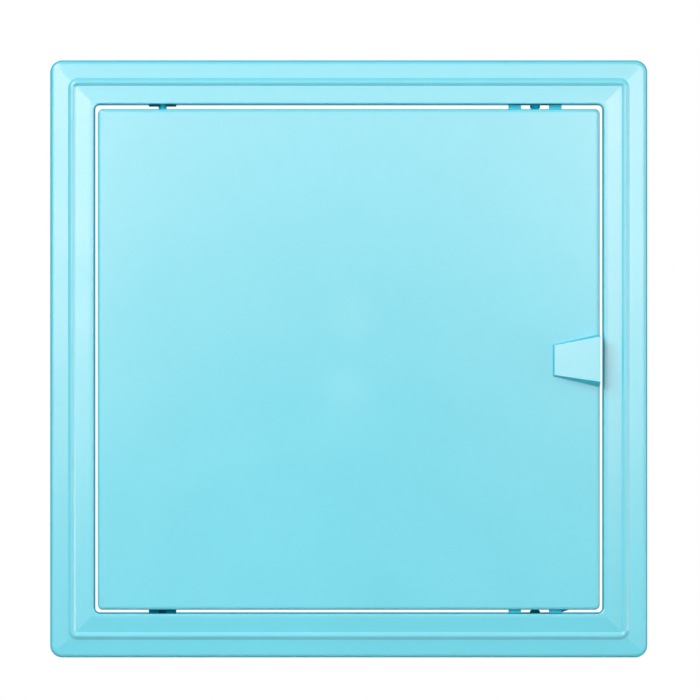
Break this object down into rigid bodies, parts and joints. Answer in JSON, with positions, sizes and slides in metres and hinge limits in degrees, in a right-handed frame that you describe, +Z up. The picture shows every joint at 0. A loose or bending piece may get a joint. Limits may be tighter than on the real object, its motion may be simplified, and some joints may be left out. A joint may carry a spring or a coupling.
{
  "type": "access panel",
  "caption": "Square plastic access panel: a beaded rim with a collar for a wall or ceiling cut-out, and a flush door that turns on pins, snaps shut and has a finger pull.",
  "frame": {"origin": "centre of the cut-out, in the wall's face", "axes": "+X to the right, towards the finger pull; +Z up; +Y into the wall, so the door's face looks along -Y"},
  "size_m": [0.168, 0.0205, 0.168],
  "materials": {
    "frame_plastic": "satin",
    "door_plastic": "satin",
    "insert_plastic": "satin"
  },
  "bodies": {
    "frame": {"frame_surround": "frame_plastic", "hinge_bush_upper": "insert_plastic", "hinge_bush_lower": "insert_plastic", "latch_keeper_upper": "insert_plastic", "latch_keeper_lower": "insert_plastic", "latch_stud_upper": "insert_plastic", "latch_stud_lower": "insert_plastic"},
    "door": {"door_leaf": "door_plastic", "finger_pull": "door_plastic", "hinge_pin_upper": "insert_plastic", "hinge_pin_lower": "insert_plastic"}
  },
  "joints": [
    {"name": "door_hinge", "type": "hinge", "parent": "frame", "child": "door", "pos_m": [-0.0524, 0.00032, 0], "axis": [0, 0, -1], "range_deg": [0, 150]}
  ]
}
